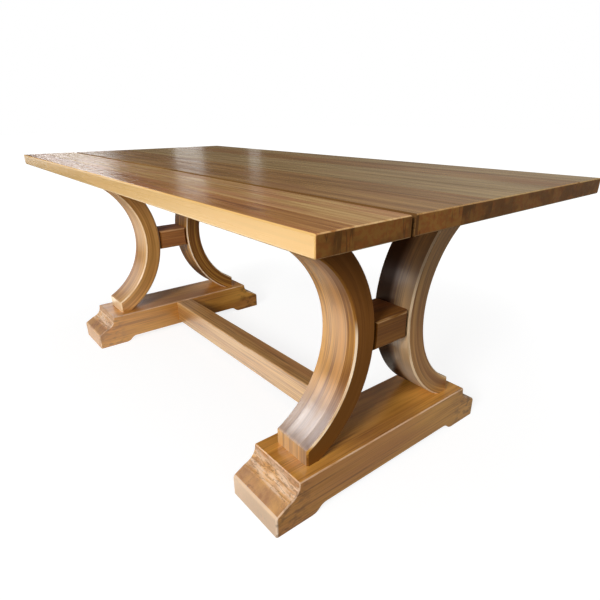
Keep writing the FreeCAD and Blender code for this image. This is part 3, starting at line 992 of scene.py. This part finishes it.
@dataclass
class PlankTop:
    """The plank top.

    Args:
        nodes: The frame's objects by node name.
        log_pitch: Step along the log from one board to the next.
        log_step: Step across the log from one board to the next.
        edge_board: The board with a paler front edge.
        shadowed_board: The board with a painted shadow band beside the open joint on its ends.
        shadow_width: Width of the painted shadow band.
        shadow_fades: Widths over which it sets in and ends.
    """

    nodes: dict[str, bpy.types.Object]
    log_pitch: float = 2.37
    log_step: float = 0.61
    edge_board: int = 1
    shadowed_board: int = 3
    shadow_width: float = 0.006
    shadow_fades: Span = (0.001, 0.002)

    def dress(self) -> None:
        """Give each board its own piece of wood, and the splines a raw one."""
        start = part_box("top_board_3")[0].y
        end = start + self.shadow_width
        shadow_band = ((start - self.shadow_fades[0], start), (end + self.shadow_fades[1], end))
        for number, (tone, end_share) in enumerate(zip(TOP_TONES, TOP_END_SHARES), start=1):
            finish = WoodFinish(
                name=f"board_{number}_wood", tone=tone, grain=Grain.ALONG_X, arris=Arris.ENDS,
                shift=(number * self.log_pitch, number * self.log_step, number * self.log_step / 3),
                figure=replace(TOP_FIGURE, end_share=end_share), end_tone=END_GRAIN,
                roughness=0.27, coat=0.12)
            if number == self.edge_board:
                finish = replace(finish, edge=PALE_EDGE)
            # The board beside the open joint gets a painted shadow band on its ends.
            if number == self.shadowed_board:
                finish = replace(finish, end_shadow_band=shadow_band)
            wear(self.nodes[f"top_board_{number}"], WoodMaterial(finish).build())
        raw = raw_wood("spline_wood", Grain.ALONG_X, (0.4, 0.2, 0.1))
        wear(self.nodes["top_splines"], raw)
        wear(self.nodes["open_joint_spline"], raw)


@dataclass
class Trestle:
    """One trestle: a moulded foot, two curved legs, a spacer block and a bearer.

    Args:
        nodes: The frame's objects by node name.
        side: Which trestle it is, right or left.
        front_tone: Colours of the front leg.
        front_tints: How much darker each of its planks is.
        back_tone: Colours of the back leg.
        back_tints: How much darker each of its planks is.
        block_tone: Colours of the spacer block.
        mould_matte: How much less the foot's moulding shines.
        nose_wear_and_sheen: How much paler the foot's ends are, part wear and part painted sheen.
        log: Where its pieces lay in their logs.
        front: How the front leg changes with height.
        back: How the back leg does.
        dulling: How much rougher the front leg's outer planks are.
        worn_span: Heights at which the front leg's pale edges, part wear and part painted highlight, set in
            and, backwards, end, if they aren't all over.
        moulding: Inner and outer side of the foot's cove and outer side of its shelf, from its middle.
    """

    nodes: dict[str, bpy.types.Object]
    side: str
    front_tone: WoodTone
    front_tints: tuple[float, ...]
    back_tone: WoodTone
    back_tints: tuple[float, ...]
    block_tone: WoodTone
    mould_matte: float
    nose_wear_and_sheen: float
    log: float
    front: LegFront
    back: LegFront
    dulling: float
    worn_span: tuple[Span, Span] | None = None
    moulding: tuple[float, float, float] = (0.327, 0.363, 0.393)

    def dress(self) -> None:
        """Give each piece its wood."""
        front = self.leg_finish("front", self.front_tone, self.front_tints, self.log)
        front = replace(
            front, worn_span=self.worn_span, leg_front=self.front,
            lamination=replace(front.lamination, dulling=self.dulling))
        back = self.leg_finish("back", self.back_tone, self.back_tints, self.log + 1.3)
        back = replace(back, leg_front=self.back)
        wear(self.nodes[f"leg_{self.side}_front"], WoodMaterial(front).build())
        wear(self.nodes[f"leg_{self.side}_back"], WoodMaterial(back).build())
        foot = WoodFinish(
            name=f"foot_wood_{self.side}", tone=GOLDEN, grain=Grain.ALONG_Y, arris=Arris.SIDES,
            shift=(self.log * 2, 0.1, self.log * 0.3), figure=FOOT_FIGURE,
            scuffs=Scuffs(*self.moulding, matte=self.mould_matte, nose_wear_and_sheen=self.nose_wear_and_sheen))
        wear(self.nodes[f"foot_{self.side}"], WoodMaterial(foot).build())
        block = WoodFinish(
            name=f"block_wood_{self.side}", tone=self.block_tone, grain=Grain.ALONG_Y,
            arris=Arris.ENDS, shift=(self.log * 3, 0.5, 0.2), roughness=0.7, coat=0.0)
        wear(self.nodes[f"spacer_block_{self.side}"], WoodMaterial(block).build())
        bearer = raw_wood(f"bearer_wood_{self.side}", Grain.ALONG_Y, (self.log * 4, 0.7, 0.1))
        wear(self.nodes[f"bearer_{self.side}"], bearer)

    def leg_finish(self, face: str, tone: WoodTone, tints: tuple[float, ...],
                   log_place: float) -> WoodFinish:
        """Give a leg planks of slightly different tone.

        Args:
            face: Which leg it is, front or back.
            tone: Colours of its wood.
            tints: How much darker each plank is.
            log_place: Where it lay in its log.

        Returns:
            The leg's finish.
        """
        low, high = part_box(f"leg_{self.side}_{face}")
        planks = Lamination(low.x, (high.x - low.x) / len(tints), tints)
        return WoodFinish(
            name=f"leg_wood_{self.side}_{face}", tone=tone, grain=Grain.ALONG_Z, arris=Arris.SIDES,
            shift=(log_place, 0.3, log_place * 0.2), figure=LEG_FIGURE, lamination=planks,
            bend=LEG_BEND)


@dataclass
class Stretcher:
    """The low rail, and the hidden pegs and loose tenons of both trestles.

    Args:
        nodes: The frame's objects by node name.
    """

    nodes: dict[str, bpy.types.Object]

    def dress(self) -> None:
        """Give the rail its wood, and the hidden pieces a raw one."""
        rail = WoodFinish(
            name="stretcher_wood", tone=STRAW, grain=Grain.ALONG_X, arris=Arris.CORNERS,
            shift=(0.7, 0.9, 0.4), figure=RAIL_FIGURE)
        wear(self.nodes["stretcher"], WoodMaterial(rail).build())
        raw = raw_wood("peg_wood", Grain.ALONG_Z, (0.2, 0.6, 0.3))
        wear(self.nodes["stretcher_pegs"], raw)
        wear(self.nodes["spacer_tenons"], raw)


@dataclass
class TopScrews:
    """The screws that hold the top to its bearers, with flanged hexagon heads.

    Args:
        first_board: First board that has screws.
        last_board: Last board that has screws.
        row_offset: Distance of the screws from the legs' sides.
        flange_radius: Radius of the head's flange.
        flange_height: Thickness of the flange at its middle.
        hexagon_radius: Radius of the hexagon over its corners.
        hexagon_height: Height of the hexagon above the flange.
        chamfer: Chamfer round the hexagon's end.
        shank_radius: Radius of the shank.
        bite: Length of the shank in the board.
        dish: Radii of the hollow in the hexagon's end at its rim and floor, as shares of the hexagon's.
        flange_rim: Thickness of the flange's rim, as a share of its middle's.
        flange_crown: Radius of the flange's crown, as a share of the hexagon's.
        point: Radius of the shank's point, as a share of its own.
        corners: Corners of the rings of the hexagon, the flange and the shank.
    """

    first_board: int = 2
    last_board: int = 7
    row_offset: float = 0.016
    flange_radius: float = 0.0068
    flange_height: float = 0.0014
    hexagon_radius: float = 0.0046
    hexagon_height: float = 0.0032
    chamfer: float = 0.0006
    shank_radius: float = 0.0024
    bite: float = 0.019
    dish: Span = (0.5, 0.4)
    flange_rim: float = 0.5
    flange_crown: float = 0.8
    point: float = 0.1
    corners: tuple[int, int, int] = (6, 24, 12)

    def build(self) -> bpy.types.Object:
        """Make all the screws as one piece.

        Returns:
            The new object.
        """
        shape = bmesh.new()
        for side, sign in (("right", 1), ("left", -1)):
            low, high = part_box(f"bearer_{side}")
            leg_low, leg_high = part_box(f"leg_{side}_front")
            row = (leg_high.x - leg_low.x) / 2 + self.row_offset
            for number in range(self.first_board, self.last_board + 1):
                board_low, board_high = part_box(f"top_board_{number}")
                across = (low.x + high.x) / 2 + sign * (-1) ** number * row
                spot = Vector((across, (board_low.y + board_high.y) / 2, low.z))
                self.add_screw(shape, spot, high.z - low.z)
        mesh = bpy.data.meshes.new("top_screws")
        shape.to_mesh(mesh)
        shape.free()
        screws = bpy.data.objects.new("top_screws", mesh)
        bpy.context.scene.collection.objects.link(screws)
        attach(screws, ROOT_BODY)
        return screws

    def add_screw(self, shape: bmesh.types.BMesh, spot: Vector, bearer_thickness: float) -> None:
        """Add one screw that points up.

        Args:
            shape: The mesh to add to.
            spot: Middle of the flange's seat.
            bearer_thickness: Thickness of the bearer that the shank goes through.
        """
        hexagon, flange, shank = self.hexagon_radius, self.flange_radius, self.shank_radius
        base = -self.flange_height
        end = base - self.hexagon_height
        rim, floor = self.dish
        tip = bearer_thickness + self.bite
        stacks = (
            [(hexagon, base), (hexagon, end + self.chamfer), (hexagon - self.chamfer, end),
             (hexagon * rim, end), (hexagon * floor, end + self.chamfer)],
            [(shank, 0.0), (flange, 0.0), (flange, base * self.flange_rim),
             (hexagon * self.flange_crown, base)],
            [(shank, 0.0), (shank, tip - 2 * shank), (shank * self.point, tip)])
        for sides, levels in zip(self.corners, stacks):
            self.add_stack(shape, spot, sides, levels)

    def add_stack(self, shape: bmesh.types.BMesh, spot: Vector, sides: int,
                  levels: list[Span]) -> None:
        """Add a capped stack of rings.

        Args:
            shape: The mesh to add to.
            spot: Foot of the stack's axis.
            sides: Corners of each ring.
            levels: Radius and height of each ring.
        """
        turns = [2 * math.pi * corner / sides for corner in range(sides)]
        rings = [[
            shape.verts.new(spot + Vector((radius * math.cos(turn), radius * math.sin(turn), height)))
            for turn in turns] for radius, height in levels]
        for lower, upper in zip(rings, rings[1:]):
            for corner in range(sides):
                after = (corner + 1) % sides
                shape.faces.new((lower[corner], lower[after], upper[after], upper[corner]))
        shape.faces.new(rings[-1])

    def dress(self, screws: bpy.types.Object) -> None:
        """Plate the screws."""
        zinc = SteelFinish(
            name="zinc_plate", bright=display(206, 206, 200), dull=display(150, 150, 146), roughness=0.3)
        wear(screws, SteelMaterial(zinc).build())


class Effect(Enum):
    """What a panel light does to the surfaces."""

    LIGHT = "light"
    SHEEN = "sheen"
    BASE_SHEEN = "base sheen"


@dataclass(frozen=True)
class Panel:
    """A soft panel light.

    Args:
        name: Name of the light.
        place: Where it hangs.
        target: What it points at.
        size: Its width and height.
        power: Its power in watts.
        effect: What it does to the surfaces.
        colour: Colour of its light.
    """

    name: str
    place: tuple[float, float, float]
    target: tuple[float, float, float]
    size: tuple[float, float]
    power: float
    effect: Effect = Effect.SHEEN
    colour: tuple[float, float, float] = (1.0, 1.0, 1.0)


PANELS = (
    Panel("front_window", (2.3, -4.9, 3.0), (0.1, 0.0, 0.4), (1.6, 1.4), 262.0, Effect.LIGHT),
    Panel("front_glint", (2.3, -4.9, 3.0), (0.1, 0.0, 0.4), (1.6, 1.4), 262.0, Effect.BASE_SHEEN),
    Panel("high_window", (-1.9, -2.15, 2.7), (0.6, -0.2, 0.2), (1.5, 1.5), 150.0, Effect.BASE_SHEEN,
          (0.92, 0.97, 1.0)),
    Panel("left_window", (-2.6, -3.7, 1.65), (0.6, -0.1, 0.3), (1.2, 1.1), 48.0, Effect.BASE_SHEEN),
    Panel("far_left_window", (-5.0, -1.9, 1.3), (-0.6, -0.2, 0.3), (1.4, 1.8), 17.0),
    Panel("far_window_1", (-5.0, 2.27, 1.2), (0.0, 0.0, 0.76), (0.38, 1.1), 1.1),
    Panel("far_window_2", (-5.0, 3.36, 1.2), (0.0, 0.0, 0.76), (0.17, 1.1), 0.32),
    Panel("far_window_3", (-5.0, 1.23, 1.1), (0.0, 0.0, 0.76), (0.12, 1.0), 0.08),
    Panel("far_skylight", (-5.0, 0.7, 2.0), (-0.6, -0.3, 0.13), (0.9, 0.55), 10.0),
)


# The floor and the walls, and where the room's light changes from one to the next, by direction.
GREY_FLOOR = (0.14, 0.13, 0.12, 1.0)
SHADED_FLOOR = (0.24, 0.24, 0.24, 1.0)
SUNLIGHT = (1.0, 0.93, 0.80, 1.0)
DARK_WALL = (0.04, 0.04, 0.04, 1.0)
ROOM = (
    ("X", (0.0, 0.8), (0.40, 0.425, 0.46, 1.0)), ("Y", (0.55, 0.9), (0.24, 0.24, 0.23, 1.0)),
    ("Z", (0.25, 0.9), (0.52, 0.52, 0.51, 1.0)))
WINDOW_SIDE = (("Y", (-0.5, -0.75)), ("Z", (0.12, 0.28)), ("X", (-0.1, -0.4)))
WINDOW_LIGHT = (1.5, 1.5, 1.5, 1.0)
WHITE = (1.0, 1.0, 1.0, 1.0)
# Where the sunlit floor in reflections starts and ends, in metres, and where the near trestle shades it.
SUN_SLANT = 0.25
SUN_FRONT = (0.35, -0.25)
SUN_REACH = ((-5.0, 0.3), (0.64, 0.44))
SHADE_STRIP = ((0.08, 0.18), (0.46, 0.40))
SHADE_DEPTH = (-0.42, -0.34)
SUN_LANE = ((-0.22, -0.18), (-0.04, -0.08))
PALE_SIDE = (0.3, 0.7)
GLOW_REACH = (0.9, 2.4)


@dataclass
class Studio:
    """A pale floor, soft light and the camera.

    Args:
        top: The pieces of the top, which don't mirror the panels for the base.
        camera_place: Where the camera stands.
        camera_yaw: Its heading from the X axis, in degrees.
        camera_pitch: Its tilt, in degrees.
        camera_roll: Its roll, in degrees.
        focal_pixels: Focal length in pixels of the frame.
        frame_pixels: Width and height of the frame.
        middle_pixels: Where the optical axis meets the frame.
        sensor_width: Width of the sensor in millimetres.
        floor_reach: Half the floor's width.
        floor_level: Height of the floor, a hair below the feet.
        sunlit_floor: How much brighter than its shade the sunlit floor shows as a reflection.
        shaded_floor: How much brighter than its darkest part the floor shows beside the table.
        dark_floor: Brightness of the floor's darkest part in reflections.
        near_glow: How bright the floor shows below the table before the lamps, so that it keeps a shadow.
    """

    top: list[bpy.types.Object]
    camera_place: tuple[float, float, float] = (1.3806, -0.8368, 0.8987)
    camera_yaw: float = 141.07
    camera_pitch: float = -25.04
    camera_roll: float = -0.33
    focal_pixels: float = 464.1
    frame_pixels: float = 600.0
    middle_pixels: tuple[float, float] = (304.34, 332.49)
    sensor_width: float = 36.0
    floor_reach: float = 30.0
    floor_level: float = -0.0005
    sunlit_floor: float = 4.0
    shaded_floor: float = 0.4
    dark_floor: float = 0.08
    near_glow: float = 0.84

    def build(self) -> None:
        """Set up the whole studio."""
        self.add_floor()
        self.add_world()
        spared = self.spare_top()
        for panel in PANELS:
            self.add_panel(panel, spared)
        self.add_camera()

    def add_floor(self) -> None:
        """Lay the floor: nearly white for the camera, sunlit in front in reflections, grey otherwise."""
        mesh = bpy.data.meshes.new("floor")
        corners = ((-1, -1), (1, -1), (1, 1), (-1, 1))
        mesh.from_pydata(
            [(x * self.floor_reach, y * self.floor_reach, self.floor_level) for x, y in corners],
            [], [(0, 1, 2, 3)])
        floor = bpy.data.objects.new("floor", mesh)
        bpy.context.scene.collection.objects.link(floor)
        material = bpy.data.materials.new("pale_floor")
        shader = Shader(material)
        path = shader.node("LightPath").outputs
        place = shader.parts("TexCoord", "Object")
        sunny = self.mirrored_floor(shader, place)
        grey = shader.node("BsdfDiffuse", {"Color": GREY_FLOOR}).outputs[0]
        sunlit = shader.node("Emission", {"Color": SUNLIGHT, "Strength": sunny}).outputs[0]
        shade = shader.node("BsdfDiffuse", {"Color": SHADED_FLOOR}).outputs[0]
        glow = shader.node("Emission", {"Strength": self.floor_glow(shader, place)}).outputs[0]
        pale = shader.node("AddShader", {0: shade, 1: glow}).outputs[0]
        mirrored = shader.node("MixShader", {0: path["Is Glossy Ray"], 1: grey, 2: sunlit}).outputs[0]
        seen = shader.node("MixShader", {0: path["Is Camera Ray"], 1: mirrored, 2: pale}).outputs[0]
        shader.node("OutputMaterial", {"Surface": seen})
        material.cycles.emission_sampling = "NONE"
        floor.data.materials.append(material)

    def mirrored_floor(self, shader: Shader, place: dict[str, Socket]) -> Socket:
        """Light the floor as reflections show it: sunny in front, with the near trestle's shadow.

        Args:
            shader: Builder of the floor's material.
            place: Where on the floor the point is.

        Returns:
            How bright the floor is.
        """
        across, depth = place["X"], place["Y"]
        slanted = shader.less(depth, shader.product(across, SUN_SLANT))
        shade = shader.product(
            shader.window(across, *SHADE_STRIP), shader.step(depth, *SHADE_DEPTH),
            shader.inverse(shader.window(depth, *SUN_LANE)))
        sunny = shader.product(
            shader.step(slanted, *SUN_FRONT), shader.window(across, *SUN_REACH), shader.inverse(shade))
        pale_side = shader.product(shader.step(across, *PALE_SIDE), self.shaded_floor)
        return shader.total(shader.product(sunny, self.sunlit_floor), pale_side, self.dark_floor)

    def floor_glow(self, shader: Shader, place: dict[str, Socket]) -> Socket:
        """Let the floor that the camera sees turn white away from the table.

        Args:
            shader: Builder of the floor's material.
            place: Where on the floor the point is.

        Returns:
            How bright the floor is before the lamps.
        """
        squares = shader.total(*(shader.product(place[axis], place[axis]) for axis in "XY"))
        far = shader.step(shader.math("SQRT", squares), *GLOW_REACH)
        return shader.total(shader.product(far, 1.0 - self.near_glow), self.near_glow)

    def add_world(self) -> None:
        """Fill the room with dim light and a window side for reflections; the camera sees white."""
        world = bpy.data.worlds.new("room")
        bpy.context.scene.world = world
        shader = Shader(world)
        path = shader.node("LightPath").outputs
        place = shader.parts("TexCoord", "Generated")
        room: Feed = DARK_WALL
        for axis, span, colour in ROOM:
            room = shader.mix(shader.step(place[axis], *span), room, colour)
        window = shader.product(
            *(shader.step(place[axis], *span) for axis, span in WINDOW_SIDE), path["Is Glossy Ray"])
        room = shader.mix(window, room, WINDOW_LIGHT)
        seen = shader.mix(path["Is Camera Ray"], room, WHITE)
        background = shader.node("Background", {"Color": seen}).outputs[0]
        shader.node("OutputWorld", {"Surface": background})

    def spare_top(self) -> bpy.types.Collection:
        """Make the list of pieces that the panels for the base leave out.

        Returns:
            A collection that shuts out the top.
        """
        spared = bpy.data.collections.new("spared_top")
        for piece in self.top:
            spared.objects.link(piece)
        for member in spared.collection_objects:
            member.light_linking.link_state = "EXCLUDE"
        return spared

    def add_panel(self, panel: Panel, spared: bpy.types.Collection) -> None:
        """Hang a soft panel light.

        Args:
            panel: The light to hang.
            spared: What a panel for the base leaves out.
        """
        data = bpy.data.lights.new(panel.name, "AREA")
        data.shape = "RECTANGLE"
        data.size, data.size_y = panel.size
        data.energy = panel.power
        data.color = panel.colour
        light = bpy.data.objects.new(panel.name, data)
        light.location = panel.place
        aim = Vector(panel.target) - Vector(panel.place)
        light.rotation_euler = aim.to_track_quat("-Z", "Y").to_euler()
        light.visible_camera = False
        light.visible_diffuse = panel.effect is Effect.LIGHT
        light.visible_glossy = panel.effect is not Effect.LIGHT
        if panel.effect is Effect.BASE_SHEEN:
            light.light_linking.receiver_collection = spared
        bpy.context.scene.collection.objects.link(light)

    def add_camera(self) -> None:
        """Set up the camera at the photograph's place."""
        yaw, pitch, roll = (
            math.radians(angle) for angle in (self.camera_yaw, self.camera_pitch, self.camera_roll))
        ahead = Vector((
            math.cos(pitch) * math.cos(yaw), math.cos(pitch) * math.sin(yaw), math.sin(pitch)))
        level = ahead.cross(Vector((0.0, 0.0, 1.0))).normalized()
        upright = level.cross(ahead)
        right = math.cos(roll) * level + math.sin(roll) * upright
        up = math.cos(roll) * upright - math.sin(roll) * level
        data = bpy.data.cameras.new("camera")
        data.sensor_width = self.sensor_width
        data.lens = self.focal_pixels / self.frame_pixels * data.sensor_width
        data.shift_x = 0.5 - self.middle_pixels[0] / self.frame_pixels
        data.shift_y = self.middle_pixels[1] / self.frame_pixels - 0.5
        camera = bpy.data.objects.new("camera", data)
        turn = Matrix((right, up, -ahead)).transposed().to_4x4()
        camera.matrix_world = Matrix.Translation(Vector(self.camera_place)) @ turn
        bpy.context.scene.collection.objects.link(camera)
        bpy.context.scene.camera = camera


def wear(piece: bpy.types.Object, material: bpy.types.Material) -> None:
    """Give a piece one material.

    Args:
        piece: The piece.
        material: Its finish.
    """
    piece.data.materials.clear()
    piece.data.materials.append(material)
    log.info("%s wears %s", piece.name, material.name)


def main() -> None:
    """Dress the table and set up the studio."""
    logging.basicConfig(level=logging.INFO)
    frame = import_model()
    nodes = frame["nodes"]
    PlankTop(nodes).dress()
    Trestle(
        # The back leg's plank tints darken its left planks as painted shade and lighten its last plank as
        # painted light.
        nodes, "right", HONEY, (-0.10, -0.24, -0.14, 0.2), UMBER, (0.7, 0.5, 0.1, -0.8), CHESTNUT,
        mould_matte=0.85, nose_wear_and_sheen=0.7, log=1.0,
        front=LegFront(darkening=0.8, toe_wear_and_sheen=0.1, matte=0.88, side_matte=0.88, last_matte=0.75,
                       last_fade=0.6),
        # Painted shadow on the left half of the back leg's face, painted grey sheen on its right half.
        back=LegFront(
            darkening=0.05, toe_wear_and_sheen=0.2, matte=0.6, side_matte=0.1, shade=0.92, painted_sheen=0.5,
            middle=0.36, top=0.43),
        dulling=0.12, worn_span=((0.171, 0.179), (0.48, 0.42))).dress()
    Trestle(
        nodes, "left", AMBER, (0.36, -0.18, -0.22, -0.5), HONEY, (0.2, 0.25, 0.1, -0.3), RUSSET,
        mould_matte=0.5, nose_wear_and_sheen=0.15, log=4.0,
        front=LegFront(darkening=0.15, toe_wear_and_sheen=0.6, matte=0.15, side_matte=0.1),
        back=LegFront(darkening=0.85, toe_wear_and_sheen=0.2, matte=0.7, side_matte=0.5, middle=0.1, top=0.15),
        dulling=0.04).dress()
    Stretcher(nodes).dress()
    screws = TopScrews()
    screws.dress(screws.build())
    Studio([piece for name, piece in nodes.items() if name.startswith("top_board")]).build()
    bpy.context.scene.view_settings.view_transform = "Standard"
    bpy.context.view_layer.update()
    log.info("dressed %d solids", len(nodes))


if __name__ == "__main__":
    main()
